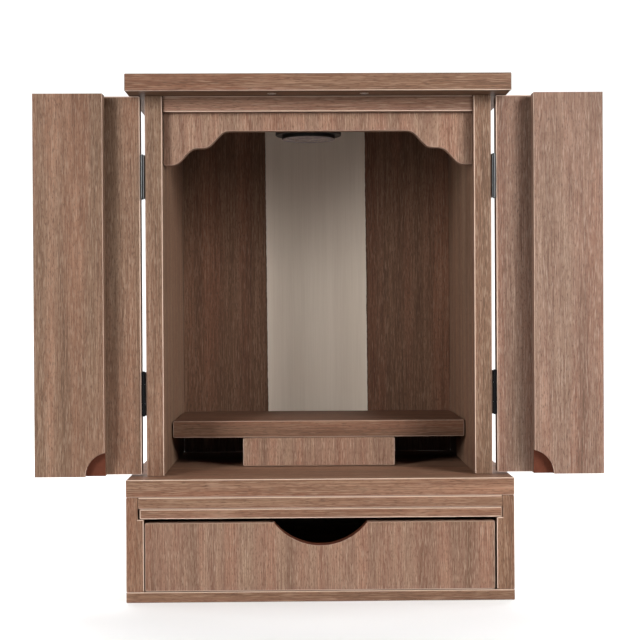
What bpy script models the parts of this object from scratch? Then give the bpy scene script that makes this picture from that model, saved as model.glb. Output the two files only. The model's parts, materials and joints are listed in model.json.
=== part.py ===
"""Household altar cabinet: a niche with folding doors on a low case with a drawer.

World axes: +X to the right, +Y to the back, +Z up, in metres. The origin is on
the floor under the middle of the top board. Both doors stand open and folded.
"""

import math

import bmesh
import bpy
from mathutils import Matrix, Vector

MM = 0.001

# Clearances
TOUCH_GAP = 0.3 * MM
DOOR_FACE_GAP = 0.8 * MM
DOOR_TOP_GAP = 0.8 * MM
DOOR_BOTTOM_GAP = 2.0 * MM
DOOR_MEETING_GAP = 1.6 * MM
FOLD_EDGE_GAP = 0.3 * MM
SHELF_SIDE_GAP = 1.5 * MM
VALANCE_SIDE_GAP = 0.5 * MM
DRAWER_LEFT_GAP = 0.8 * MM
DRAWER_RIGHT_GAP = 1.7 * MM
DRAWER_TOP_GAP = 3.0 * MM
SLIDE_LEFT_GAP = 1.5 * MM
SLIDE_RIGHT_GAP = 0.7 * MM

# Boards of the cabinet
BOARD = 15.0 * MM
WIDTH = 330.0 * MM
CASE_STAND_OUT = 1.0 * MM
DEPTH = 220.0 * MM
CABINET_HEIGHT = 361.0 * MM
CASE_HEIGHT = 90.0 * MM
SIDE_OVERHANG = 14.5 * MM
TOP_OVERHANG = 22.0 * MM
CASE_SETBACK = 0.6 * MM
HEAD_RAIL_SETBACK = 3.0 * MM
HEAD_RAIL_HEIGHT = 13.8 * MM
BACK_THICKNESS = 5.0 * MM
BACK_SETBACK = 3.0 * MM

# Pale strip down the middle of the back
STRIP_WIDTH = 101.0 * MM
STRIP_THICKNESS = 0.8 * MM

# Scalloped valance, measured down from the head rail and in from a side board
VALANCE_THICKNESS = 9.0 * MM
VALANCE_SETBACK = 9.0 * MM
VALANCE_MIDDLE_DROP = 16.1 * MM
VALANCE_WALL_DROP = 45.8 * MM
VALANCE_WALL_RUN = 5.6 * MM
VALANCE_LOWER_RUN = 25.6 * MM
VALANCE_LOWER_RISE = 14.9 * MM
VALANCE_STEP_RUN = 2.0 * MM
VALANCE_UPPER_RUN = 25.6 * MM
VALANCE_CURVE_STEPS = 12

# Shelf and the stand under it
SHELF_THICKNESS = 15.0 * MM
SHELF_REAR_SPACE = 11.0 * MM
SHELF_SETBACK = 64.0 * MM
STAND_WIDTH = 140.0 * MM
STAND_HEIGHT = 26.7 * MM
STAND_FRONT_THICKNESS = 12.0 * MM
STAND_SIDE_THICKNESS = 9.0 * MM
STAND_REAR_INSET = 12.7 * MM
STAND_CORNER_RADIUS = 2.0 * MM

# Lamp on the ceiling
LAMP_RADIUS = 31.0 * MM
LAMP_THICKNESS = 22.0 * MM
LENS_RADIUS = 25.0 * MM
LENS_THICKNESS = 3.3 * MM
LENS_EDGE_RADIUS = 2.0 * MM
LAMP_OFF_CENTRE = -8.0 * MM
LAMP_SETBACK = 97.0 * MM

# Doors, each of a wide leaf on the cabinet and a narrow leaf folded on its inside
LEAF_THICKNESS = 12.0 * MM
NARROW_LEAF_WIDTH = 59.6 * MM
FOLD_SPACE = 4.0 * MM
POCKET_RADIUS = 21.0 * MM
POCKET_CENTRE_OUT = 4.5 * MM
POCKET_DEPTH = 6.0 * MM
MAGNET_RADIUS = 4.0 * MM
MAGNET_THICKNESS = 3.0 * MM
MAGNET_OFF_CENTRE = 40.0 * MM

# Butt hinges
HINGE_LENGTH = 38.0 * MM
HINGE_FROM_END = 70.0 * MM
HINGE_PLATE_WIDTH = 8.0 * MM
HINGE_PLATE_THICKNESS = 0.9 * MM
KNUCKLE_RADIUS = 1.7 * MM
KNUCKLE_GAP = 0.3 * MM
KNUCKLE_SIDES = 20
MIDDLE_KNUCKLE_SHARE = 0.44
HINGE_AXIS_OUT = 2.2 * MM

# Case under the cabinet
CASE_BOTTOM_THICKNESS = 9.0 * MM
CASE_SIDE_THICKNESS = 15.0 * MM
CASE_TOP_THICKNESS = 9.6 * MM
CASE_BACK_THICKNESS = 9.0 * MM
CASE_RABBET = 5.0 * MM
SLIDE_THICKNESS = 8.6 * MM
SLIDE_REAR_SPACE = 16.0 * MM
SLIDE_EDGE_RADIUS = 0.6 * MM

# Drawer
DRAWER_FRONT_THICKNESS = 12.0 * MM
DRAWER_WALL = 9.0 * MM
DRAWER_BOTTOM_THICKNESS = 3.0 * MM
DRAWER_WALL_HEIGHT = 45.0 * MM
DRAWER_BOX_INSET = 1.5 * MM
DRAWER_REAR_SPACE = 11.0 * MM
DRAWER_EDGE_RADIUS = 1.2 * MM
FINGER_CUT_RADIUS = 50.0 * MM
FINGER_CUT_DEPTH = 20.0 * MM
FINGER_CUT_SIDES = 96

ROUND_SIDES = 48
BEVEL_SEGMENTS = 3
AXIS_MARK_SIZE = 20.0 * MM
SHARP_ANGLE = math.radians(35.0)

# Places that follow from the sizes
FRONT = -DEPTH / 2
REAR = DEPTH / 2
SIDE_FRONT = FRONT + TOP_OVERHANG
CASE_FRONT = FRONT + CASE_SETBACK
CASE_WIDTH = WIDTH + 2 * CASE_STAND_OUT
OUTER_X = WIDTH / 2 - SIDE_OVERHANG
INNER_X = OUTER_X - BOARD
FLOOR_TOP = CASE_HEIGHT + BOARD
TOP_UNDERSIDE = CASE_HEIGHT + CABINET_HEIGHT - BOARD
RAIL_UNDERSIDE = TOP_UNDERSIDE - HEAD_RAIL_HEIGHT
BACK_FACE = REAR - BACK_SETBACK - BACK_THICKNESS
CASE_INNER_X = CASE_WIDTH / 2 - CASE_SIDE_THICKNESS
CASE_TOP = CASE_HEIGHT - TOUCH_GAP
SLIDE_TOP = CASE_TOP - CASE_TOP_THICKNESS - TOUCH_GAP
SLIDE_BOTTOM = SLIDE_TOP - SLIDE_THICKNESS
LEDGE = SLIDE_BOTTOM - TOUCH_GAP

# sRGB colour, roughness and metallic value of each material
FINISHES = {
    "walnut_board": ("9A7868", 0.55, 0.0),
    "walnut_back": ("553D31", 0.6, 0.0),
    "pale_strip": ("A69B8C", 0.6, 0.0),
    "black_hinge": ("1B1A1A", 0.35, 0.8),
    "lamp_base": ("2A2725", 0.5, 0.0),
    "lamp_lens": ("D9D6CF", 0.35, 0.0),
    "bright_magnet": ("B9B6B2", 0.3, 1.0),
    "drawer_board": ("A88670", 0.6, 0.0),
}


def clear_scene():
    """Take every object out of the open scene."""
    for old in list(bpy.data.objects):
        bpy.data.objects.remove(old, do_unlink=True)


def linear(value):
    """Turn one sRGB channel from 0 to 1 into its linear value."""
    if value <= 0.04045:
        return value / 12.92
    return ((value + 0.055) / 1.055) ** 2.4


def finish_material(finish, node_name):
    """Make the Principled material of one object in a named finish."""
    hex_colour, roughness, metallic = FINISHES[finish]
    channels = [linear(int(hex_colour[i:i + 2], 16) / 255.0) for i in (0, 2, 4)]
    material = bpy.data.materials.new(f"{finish}.{node_name}")
    material.use_nodes = True
    shader = material.node_tree.nodes["Principled BSDF"]
    shader.inputs["Base Color"].default_value = (*channels, 1.0)
    shader.inputs["Roughness"].default_value = roughness
    shader.inputs["Metallic"].default_value = metallic
    material.diffuse_color = (*channels, 1.0)
    return material


def add_object(name, mesh_builder, finish):
    """Turn a bmesh into a named object, placed at the middle of its own box."""
    bmesh.ops.recalc_face_normals(mesh_builder, faces=mesh_builder.faces[:])
    corners = [vertex.co for vertex in mesh_builder.verts]
    low = Vector([min(corner[axis] for corner in corners) for axis in range(3)])
    high = Vector([max(corner[axis] for corner in corners) for axis in range(3)])
    middle = (low + high) / 2
    mesh_builder.transform(Matrix.Translation(-middle))
    mesh = bpy.data.meshes.new(name)
    mesh_builder.to_mesh(mesh)
    mesh_builder.free()
    piece = bpy.data.objects.new(name, mesh)
    bpy.context.scene.collection.objects.link(piece)
    if finish is not None:
        mesh.materials.append(finish_material(finish, name))
    piece.location = middle
    return piece


def block_mesh(x_range, y_range, z_range):
    """Give a bmesh of a block between two limits on each axis."""
    builder = bmesh.new()
    bmesh.ops.create_cube(builder, size=1.0)
    low = Vector((min(x_range), min(y_range), min(z_range)))
    high = Vector((max(x_range), max(y_range), max(z_range)))
    size = high - low
    bmesh.ops.scale(builder, vec=size, verts=builder.verts)
    bmesh.ops.translate(builder, vec=(low + high) / 2, verts=builder.verts)
    return builder


def board(name, x_range, y_range, z_range, finish="walnut_board"):
    """Add a plain rectangular board."""
    return add_object(name, block_mesh(x_range, y_range, z_range), finish)


def prism_mesh(outline, start, end):
    """Extrude a closed outline of (x, z) points along Y from start to end."""
    builder = bmesh.new()
    face = builder.faces.new([builder.verts.new((x, start, z)) for x, z in outline])
    grown = bmesh.ops.extrude_face_region(builder, geom=[face])
    moved = [item for item in grown["geom"] if isinstance(item, bmesh.types.BMVert)]
    bmesh.ops.translate(builder, vec=(0.0, end - start, 0.0), verts=moved)
    return builder


def cylinder_mesh(radius, centre, start, end, sides, axis="z"):
    """Give a closed cylinder along Z or Y about a centre point."""
    builder = bmesh.new()
    bmesh.ops.create_cone(
        builder, cap_ends=True, segments=sides, radius1=radius, radius2=radius, depth=end - start
    )
    if axis == "y":
        bmesh.ops.rotate(builder, matrix=Matrix.Rotation(math.pi / 2, 3, "X"), verts=builder.verts)
        place = Vector((centre[0], (start + end) / 2, centre[1]))
    else:
        place = Vector((centre[0], centre[1], (start + end) / 2))
    bmesh.ops.translate(builder, vec=place, verts=builder.verts)
    return builder


def round_edges(piece, width, segments=BEVEL_SEGMENTS):
    """Ease every sharp edge of a piece."""
    bevel = piece.modifiers.new("eased_edges", "BEVEL")
    bevel.width = width
    bevel.segments = segments
    bevel.limit_method = "ANGLE"
    bevel.angle_limit = math.radians(40.0)


def smooth(piece):
    """Shade a round piece smooth and keep its rims sharp."""
    piece.data.shade_smooth()
    piece.data.set_sharp_from_angle(angle=SHARP_ANGLE)


def combine(piece, other_mesh, operation, label):
    """Cut a shape out of a piece, or weld it on, through a hidden helper object."""
    helper = add_object(f"{piece.name}_{label}", other_mesh, None)
    helper.hide_render = True
    helper.display_type = "WIRE"
    if piece.parent is not None:
        helper.parent = piece.parent
        helper.matrix_parent_inverse = piece.matrix_parent_inverse.copy()
    change = piece.modifiers.new(label, "BOOLEAN")
    change.operation = operation
    change.object = helper


def axis_empty(name, place, parent=None):
    """Add an empty that marks a moving body's axis or line of travel."""
    empty = bpy.data.objects.new(name, None)
    empty.empty_display_size = AXIS_MARK_SIZE
    bpy.context.scene.collection.objects.link(empty)
    if parent is not None:
        empty.parent = parent
        empty.matrix_parent_inverse = Matrix.Translation(-parent.matrix_world.translation)
    empty.location = place
    bpy.context.view_layer.update()
    return empty


def place_under(piece, parent):
    """Hang a piece under an empty and leave it where it is."""
    piece.parent = parent
    piece.matrix_parent_inverse = parent.matrix_world.inverted()


def valance_outline():
    """Give the valance's outline as (x, z), with two S curves at each lower corner."""
    half = INNER_X - VALANCE_SIDE_GAP
    top = RAIL_UNDERSIDE - TOUCH_GAP
    wall_low = RAIL_UNDERSIDE - VALANCE_WALL_DROP
    middle_low = RAIL_UNDERSIDE - VALANCE_MIDDLE_DROP
    step_low = wall_low + VALANCE_LOWER_RISE

    def s_curve(start_x, start_z, run, rise):
        points = []
        for step in range(VALANCE_CURVE_STEPS + 1):
            share = step / VALANCE_CURVE_STEPS
            lift = share - math.sin(2 * math.pi * share) / (2 * math.pi)
            points.append((start_x + run * share, start_z + rise * lift))
        return points

    lower_start = -INNER_X + VALANCE_WALL_RUN
    upper_start = lower_start + VALANCE_LOWER_RUN + VALANCE_STEP_RUN
    left = [(-half, wall_low)]
    left += s_curve(lower_start, wall_low, VALANCE_LOWER_RUN, VALANCE_LOWER_RISE)
    left += s_curve(upper_start, step_low, VALANCE_UPPER_RUN, middle_low - step_low)
    right = [(-x, z) for x, z in reversed(left)]
    return [(-half, top)] + left + right + [(half, top)]


def build_carcass():
    """Build the fixed boards of the upper cabinet."""
    top = board(
        "top_board", (-WIDTH / 2, WIDTH / 2), (FRONT, REAR), (TOP_UNDERSIDE, TOP_UNDERSIDE + BOARD)
    )
    board("floor_board", (-CASE_WIDTH / 2, CASE_WIDTH / 2), (FRONT, REAR), (CASE_HEIGHT, FLOOR_TOP))
    standing = (FLOOR_TOP + TOUCH_GAP, TOP_UNDERSIDE - TOUCH_GAP)
    between = INNER_X - TOUCH_GAP
    for side, name in ((-1, "left_side_board"), (1, "right_side_board")):
        board(name, (side * INNER_X, side * OUTER_X), (SIDE_FRONT, REAR), standing)
    rail_front = SIDE_FRONT + HEAD_RAIL_SETBACK
    board(
        "head_rail",
        (-between, between),
        (rail_front, rail_front + BOARD),
        (RAIL_UNDERSIDE, TOP_UNDERSIDE - TOUCH_GAP),
    )
    board(
        "back_board", (-between, between), (BACK_FACE, BACK_FACE + BACK_THICKNESS), standing, "walnut_back"
    )
    board(
        "backdrop_strip",
        (-STRIP_WIDTH / 2, STRIP_WIDTH / 2),
        (BACK_FACE - TOUCH_GAP - STRIP_THICKNESS, BACK_FACE - TOUCH_GAP),
        standing,
        "pale_strip",
    )
    valance_front = SIDE_FRONT + VALANCE_SETBACK
    outline = prism_mesh(valance_outline(), valance_front, valance_front + VALANCE_THICKNESS)
    add_object("scalloped_valance", outline, "drawer_board")
    build_magnets(top)


def build_magnets(top):
    """Let a round door magnet into the top board's underside over each door's inner end."""
    line = SIDE_FRONT - DOOR_FACE_GAP - LEAF_THICKNESS / 2
    for side, name in ((-1, "left_door_magnet"), (1, "right_door_magnet")):
        centre = (side * MAGNET_OFF_CENTRE, line)
        hole = cylinder_mesh(
            MAGNET_RADIUS + TOUCH_GAP,
            centre,
            TOP_UNDERSIDE - MAGNET_THICKNESS,
            TOP_UNDERSIDE + MAGNET_THICKNESS + TOUCH_GAP,
            ROUND_SIDES,
        )
        combine(top, hole, "DIFFERENCE", f"{name}_hole")
        disc = cylinder_mesh(
            MAGNET_RADIUS, centre, TOP_UNDERSIDE, TOP_UNDERSIDE + MAGNET_THICKNESS, ROUND_SIDES
        )
        smooth(add_object(name, disc, "bright_magnet"))


def build_lamp():
    """Build the round lamp on the ceiling, which is the underside of the top board."""
    centre = (LAMP_OFF_CENTRE, SIDE_FRONT + LAMP_SETBACK)
    base_top = TOP_UNDERSIDE - TOUCH_GAP
    base_low = base_top - LAMP_THICKNESS
    base = add_object(
        "lamp_base", cylinder_mesh(LAMP_RADIUS, centre, base_low, base_top, ROUND_SIDES), "lamp_base"
    )
    smooth(base)
    lens_top = base_low - TOUCH_GAP
    lens_low = lens_top - LENS_THICKNESS
    lens_mesh = cylinder_mesh(LENS_RADIUS, centre, lens_low, lens_top, ROUND_SIDES)
    lower_rim = [
        edge for edge in lens_mesh.edges
        if all(abs(vertex.co.z - lens_low) < TOUCH_GAP for vertex in edge.verts)
    ]
    bmesh.ops.bevel(
        lens_mesh,
        geom=lower_rim,
        offset=LENS_EDGE_RADIUS,
        segments=BEVEL_SEGMENTS,
        affect="EDGES",
        profile=0.5,
    )
    smooth(add_object("lamp_lens", lens_mesh, "lamp_lens"))


def build_shelf():
    """Build the loose shelf and the three boards of the stand under it."""
    stand_top = FLOOR_TOP + TOUCH_GAP + STAND_HEIGHT
    shelf_low = stand_top + TOUCH_GAP
    shelf_half = INNER_X - SHELF_SIDE_GAP
    shelf_front = SIDE_FRONT + SHELF_SETBACK
    shelf_rear = BACK_FACE - SHELF_REAR_SPACE
    board(
        "shelf_board",
        (-shelf_half, shelf_half),
        (shelf_front, shelf_rear),
        (shelf_low, shelf_low + SHELF_THICKNESS),
    )
    front = board(
        "shelf_stand_front",
        (-STAND_WIDTH / 2, STAND_WIDTH / 2),
        (shelf_front, shelf_front + STAND_FRONT_THICKNESS),
        (FLOOR_TOP + TOUCH_GAP, stand_top),
        "drawer_board",
    )
    round_edges(front, STAND_CORNER_RADIUS)
    side_start = shelf_front + STAND_FRONT_THICKNESS + TOUCH_GAP
    for side, name in ((-1, "shelf_stand_left"), (1, "shelf_stand_right")):
        outer = side * (STAND_WIDTH / 2 - STAND_CORNER_RADIUS)
        board(
            name,
            (outer - side * STAND_SIDE_THICKNESS, outer),
            (side_start, shelf_rear - STAND_REAR_INSET),
            (FLOOR_TOP + TOUCH_GAP, stand_top),
        )


def plate_and_knuckles(name, axis, height, plate, web, spans, parent):
    """Build one hinge leaf: a flat plate with solid knuckles welded to its edge.

    axis is the hinge axis as (x, y), height the leaf's lowest z, plate and web
    the (x, y) limits of the plate and of the lugs that join it to the knuckles,
    and spans the knuckles' (low, high) heights above the leaf's lowest point.
    """
    leaf = add_object(name, block_mesh(*plate, (height, height + HINGE_LENGTH)), "black_hinge")
    for number, (low, high) in enumerate(spans):
        lug = block_mesh(*web, (height + low, height + high))
        combine(leaf, lug, "UNION", f"lug_{number}")
        knuckle = cylinder_mesh(KNUCKLE_RADIUS, axis, height + low, height + high, KNUCKLE_SIDES)
        combine(leaf, knuckle, "UNION", f"knuckle_{number}")
    smooth(leaf)
    if parent is not None:
        place_under(leaf, parent)


def knuckle_spans():
    """Give the outer pair of knuckles and the middle one as lists of heights."""
    middle = HINGE_LENGTH * MIDDLE_KNUCKLE_SHARE
    outer = (HINGE_LENGTH - middle) / 2
    ends = [(0.0, outer - KNUCKLE_GAP / 2), (outer + middle + KNUCKLE_GAP / 2, HINGE_LENGTH)]
    centre = [(outer + KNUCKLE_GAP / 2, outer + middle - KNUCKLE_GAP / 2)]
    return ends, centre


def build_door(side, word):
    """Build one folding door, open, with its hinges. side is -1 for left, 1 for right."""
    low = FLOOR_TOP + DOOR_BOTTOM_GAP
    high = TOP_UNDERSIDE - DOOR_TOP_GAP
    axis_x = OUTER_X + HINGE_AXIS_OUT
    axis_y = SIDE_FRONT - DOOR_FACE_GAP / 2
    near_x = axis_x + HINGE_AXIS_OUT
    wide_width = OUTER_X - DOOR_MEETING_GAP / 2 - NARROW_LEAF_WIDTH - 2 * FOLD_EDGE_GAP
    far_x = near_x + wide_width
    fold_x = far_x + FOLD_EDGE_GAP
    fold_y = SIDE_FRONT - FOLD_SPACE / 2
    door_axis = axis_empty(f"{word}_door_axis", (side * axis_x, axis_y, low))
    fold_axis = axis_empty(f"{word}_fold_axis", (side * fold_x, fold_y, low), door_axis)

    wide = board(
        f"{word}_door_wide_leaf",
        (side * near_x, side * far_x),
        (SIDE_FRONT, SIDE_FRONT + LEAF_THICKNESS),
        (low, high),
    )
    place_under(wide, door_axis)
    narrow_back = SIDE_FRONT - FOLD_SPACE
    narrow_front = narrow_back - LEAF_THICKNESS
    free_x = far_x - NARROW_LEAF_WIDTH
    narrow = board(
        f"{word}_door_narrow_leaf", (side * free_x, side * far_x), (narrow_front, narrow_back), (low, high)
    )
    place_under(narrow, fold_axis)
    pocket = cylinder_mesh(
        POCKET_RADIUS,
        (side * (free_x - POCKET_CENTRE_OUT), low),
        narrow_front - POCKET_DEPTH,
        narrow_front + POCKET_DEPTH,
        ROUND_SIDES,
        axis="y",
    )
    combine(narrow, pocket, "DIFFERENCE", "finger_pocket")
    build_hinges(side, word, (low, high), (axis_x, axis_y, near_x), (fold_x, fold_y), (door_axis, fold_axis))


def build_hinges(side, word, door_span, door_line, fold_line, axes):
    """Build the four butt hinges of one door, two at the cabinet and two at the fold."""
    low, high = door_span
    axis_x, axis_y, near_x = door_line
    fold_x, fold_y = fold_line
    door_axis, fold_axis = axes
    ends, centre = knuckle_spans()
    heights = {
        "upper": high - HINGE_FROM_END - HINGE_LENGTH / 2,
        "lower": low + HINGE_FROM_END - HINGE_LENGTH / 2,
    }
    reach = KNUCKLE_RADIUS + KNUCKLE_GAP
    case_face = (OUTER_X + TOUCH_GAP, OUTER_X + TOUCH_GAP + HINGE_PLATE_THICKNESS)
    door_face = (near_x - TOUCH_GAP, near_x - TOUCH_GAP - HINGE_PLATE_THICKNESS)
    wide_face = (SIDE_FRONT - TOUCH_GAP, SIDE_FRONT - TOUCH_GAP - HINGE_PLATE_THICKNESS)
    narrow_inside = SIDE_FRONT - FOLD_SPACE
    narrow_face = (narrow_inside + TOUCH_GAP, narrow_inside + TOUCH_GAP + HINGE_PLATE_THICKNESS)
    edge_plate = (axis_y + reach, axis_y + reach + HINGE_PLATE_WIDTH)
    edge_web = (axis_y, axis_y + reach)
    fold_plate = (fold_x - reach, fold_x - reach - HINGE_PLATE_WIDTH)
    fold_web = (fold_x, fold_x - reach)
    door_pivot = (axis_x, axis_y)
    fold_pivot = (fold_x, fold_y)
    at_case = ((case_face, edge_plate), (case_face, edge_web))
    at_door = ((door_face, edge_plate), (door_face, edge_web))
    on_wide = ((fold_plate, wide_face), (fold_web, wide_face))
    on_narrow = ((fold_plate, narrow_face), (fold_web, narrow_face))
    rows = (
        ("hinge_cabinet_plate", door_pivot, at_case, ends, None),
        ("hinge_door_plate", door_pivot, at_door, centre, door_axis),
        ("fold_hinge_wide_plate", fold_pivot, on_wide, ends, door_axis),
        ("fold_hinge_narrow_plate", fold_pivot, on_narrow, centre, fold_axis),
    )
    for level, height in heights.items():
        for label, pivot, (plate, web), spans, parent in rows:
            plate_and_knuckles(
                f"{word}_{level}_{label}",
                (side * pivot[0], pivot[1]),
                height,
                mirrored(plate, side),
                mirrored(web, side),
                spans,
                parent,
            )


def mirrored(limits, side):
    """Put (x, y) limits on the left for side -1, and leave them on the right for 1."""
    x_range, y_range = limits
    return (side * x_range[0], side * x_range[1]), y_range


def build_case():
    """Build the low case under the cabinet."""
    outer = CASE_WIDTH / 2
    board("case_bottom_board", (-outer, outer), (CASE_FRONT, REAR), (0.0, CASE_BOTTOM_THICKNESS))
    side_low = CASE_BOTTOM_THICKNESS + TOUCH_GAP
    rabbet_x = CASE_INNER_X + CASE_RABBET
    for side, name in ((-1, "case_left_side"), (1, "case_right_side")):
        outline = [
            (side * CASE_INNER_X, side_low),
            (side * outer, side_low),
            (side * outer, CASE_TOP),
            (side * rabbet_x, CASE_TOP),
            (side * rabbet_x, LEDGE),
            (side * CASE_INNER_X, LEDGE),
        ]
        add_object(name, prism_mesh(outline, CASE_FRONT, REAR), "walnut_board")
    top_half = rabbet_x - TOUCH_GAP
    board(
        "case_top_board", (-top_half, top_half), (CASE_FRONT, REAR), (CASE_TOP - CASE_TOP_THICKNESS, CASE_TOP)
    )
    back_half = CASE_INNER_X - TOUCH_GAP
    board(
        "case_back_board", (-back_half, back_half), (REAR - CASE_BACK_THICKNESS, REAR), (side_low, SLIDE_TOP)
    )


def build_slide():
    """Build the board that pulls out above the drawer."""
    travel = axis_empty("pull_out_travel", (0.0, CASE_FRONT, SLIDE_BOTTOM))
    slot_half = CASE_INNER_X + CASE_RABBET
    slide = board(
        "pull_out_board",
        (-slot_half + SLIDE_LEFT_GAP, slot_half - SLIDE_RIGHT_GAP),
        (CASE_FRONT, REAR - CASE_BACK_THICKNESS - SLIDE_REAR_SPACE),
        (SLIDE_BOTTOM, SLIDE_TOP),
    )
    place_under(slide, travel)
    round_edges(slide, SLIDE_EDGE_RADIUS, 1)


def build_drawer():
    """Build the drawer: a front with a finger cut, two sides, a back and a thin bottom."""
    low = CASE_BOTTOM_THICKNESS + 2 * TOUCH_GAP
    front_high = LEDGE - DRAWER_TOP_GAP
    left_x = -CASE_INNER_X + DRAWER_LEFT_GAP
    right_x = CASE_INNER_X - DRAWER_RIGHT_GAP
    front_back = CASE_FRONT + DRAWER_FRONT_THICKNESS
    travel = axis_empty("drawer_travel", (0.0, CASE_FRONT, low))
    front = board(
        "drawer_front", (left_x, right_x), (CASE_FRONT, front_back), (low, front_high), "drawer_board"
    )
    place_under(front, travel)
    finger_cut = cylinder_mesh(
        FINGER_CUT_RADIUS,
        (0.0, front_high - FINGER_CUT_DEPTH + FINGER_CUT_RADIUS),
        CASE_FRONT - DRAWER_FRONT_THICKNESS,
        front_back + DRAWER_FRONT_THICKNESS,
        FINGER_CUT_SIDES,
        axis="y",
    )
    round_edges(front, DRAWER_EDGE_RADIUS)
    combine(front, finger_cut, "DIFFERENCE", "finger_cut")

    box_start = front_back + TOUCH_GAP
    box_end = REAR - CASE_BACK_THICKNESS - DRAWER_REAR_SPACE
    box_left = left_x + DRAWER_BOX_INSET
    box_right = right_x - DRAWER_BOX_INSET
    wall_low = low + DRAWER_BOTTOM_THICKNESS + TOUCH_GAP
    wall_high = wall_low + DRAWER_WALL_HEIGHT
    long_y = (box_start, box_end)
    wall_z = (wall_low, wall_high)
    back_x = (box_left + DRAWER_WALL + TOUCH_GAP, box_right - DRAWER_WALL - TOUCH_GAP)
    pieces = (
        ("drawer_bottom", (box_left, box_right), long_y, (low, low + DRAWER_BOTTOM_THICKNESS)),
        ("drawer_left_side", (box_left, box_left + DRAWER_WALL), long_y, wall_z),
        ("drawer_right_side", (box_right - DRAWER_WALL, box_right), long_y, wall_z),
        ("drawer_back", back_x, (box_end - DRAWER_WALL, box_end), wall_z),
    )
    for name, x_range, y_range, z_range in pieces:
        place_under(board(name, x_range, y_range, z_range), travel)


def main():
    """Build the whole cabinet."""
    clear_scene()
    build_carcass()
    build_lamp()
    build_shelf()
    for side, word in ((-1, "left"), (1, "right")):
        build_door(side, word)
    build_case()
    build_slide()
    build_drawer()
    bpy.context.view_layer.update()


main()
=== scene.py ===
"""Looks of a small household altar cabinet in walnut-print laminate.

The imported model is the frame: every piece here takes its place from a node of
it. World axes are those of the model, in metres: +X right, +Y back, +Z up.
"""

from __future__ import annotations

import json
import logging
import math
import random
from dataclasses import dataclass
from enum import Enum, IntEnum

import bmesh
import bpy
from mathutils import Matrix, Vector


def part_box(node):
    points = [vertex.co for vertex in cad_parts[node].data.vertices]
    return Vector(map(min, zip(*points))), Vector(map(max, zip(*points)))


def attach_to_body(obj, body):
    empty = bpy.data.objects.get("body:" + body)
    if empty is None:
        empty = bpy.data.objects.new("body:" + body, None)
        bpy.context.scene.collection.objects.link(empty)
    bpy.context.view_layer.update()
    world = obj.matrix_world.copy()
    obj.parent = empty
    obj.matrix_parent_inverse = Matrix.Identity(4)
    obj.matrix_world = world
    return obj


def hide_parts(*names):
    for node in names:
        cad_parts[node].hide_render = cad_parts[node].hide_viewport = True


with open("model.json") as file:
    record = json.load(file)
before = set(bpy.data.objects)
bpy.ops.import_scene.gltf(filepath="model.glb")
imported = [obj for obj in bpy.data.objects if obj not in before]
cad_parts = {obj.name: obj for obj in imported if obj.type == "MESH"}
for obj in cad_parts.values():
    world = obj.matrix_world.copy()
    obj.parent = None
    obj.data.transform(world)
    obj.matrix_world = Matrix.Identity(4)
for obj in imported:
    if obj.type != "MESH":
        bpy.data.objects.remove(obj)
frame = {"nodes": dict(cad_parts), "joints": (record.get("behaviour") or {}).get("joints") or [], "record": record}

MM = 0.001
LOG = logging.getLogger("altar_cabinet")

# The part of a face's normal along an axis from which it leans that way, and is square to the axis.
LEANING = 0.35
SQUARE = 0.9
# Points nearer than the first are one point, faces within the second are one flat face, and edges
# of round pieces that turn by more than the third are shaded sharp.
WELD = 0.001 * MM
FLAT_ANGLE = math.radians(0.5)
SHARP_ANGLE = math.radians(30.0)

BODY_OF = {
    node: body for body, nodes in frame["record"]["behaviour"]["bodies"].items() for node in nodes
}

Rgba = tuple[float, float, float, float]


class Grain(Enum):
    """The way the printed grain runs on a board, as the number of its axis."""

    ACROSS = 0
    DEEP = 1
    UPRIGHT = 2


class Tone(Enum):
    """Which sheet of the print a board is cut from, and how light it is; three of them also paint light and shade,
    as noted on each.
    """

    FRONT = "front"
    DOOR = "door"
    PLANK = "plank"
    # On the head rail this lighter sheet is painted light.
    LIGHT = "light"
    # On the top board's underside this darker sheet is painted shade.
    DARK = "dark"
    # On the shelf this darker sheet is painted shade.
    NICHE = "niche"


class Skin(IntEnum):
    """What a face of a board shows, as its material slot on the piece."""

    PRINT = 0
    # Pale foil edge with a painted highlight on it.
    BRIGHT = 1
    FAINT = 2
    END = 3
    # The darker sheet on an underside: painted shade.
    DARK = 4
    RUBBED = 5


class Arris(Enum):
    """A board's long edge, as the way along x, y and z that its eased face looks."""

    TOP = (0, -1, 1)
    FOOT = (0, -1, -1)
    LEFT = (-1, -1, 0)
    RIGHT = (1, -1, 0)
    BACK_LEFT = (-1, 1, 0)
    BACK_RIGHT = (1, 1, 0)

    def holds(self, normal: Vector) -> bool:
        """Tell whether a face with this normal is the eased arris."""
        parts = zip(normal, self.value)
        return all(part * sign >= LEANING if sign else abs(part) < LEANING for part, sign in parts)


def linear_colour(hex_colour: str) -> Rgba:
    """Turn an sRGB hex colour into linear RGBA.

    Args:
        hex_colour: Six hex digits, such as "9A7868".

    Returns:
        The linear colour with full alpha.
    """
    channels = []
    for start in (0, 2, 4):
        value = int(hex_colour[start:start + 2], 16) / 255.0
        if value <= 0.04045:
            channels.append(value / 12.92)
        else:
            channels.append(((value + 0.055) / 1.055) ** 2.4)
    return (channels[0], channels[1], channels[2], 1.0)


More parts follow.
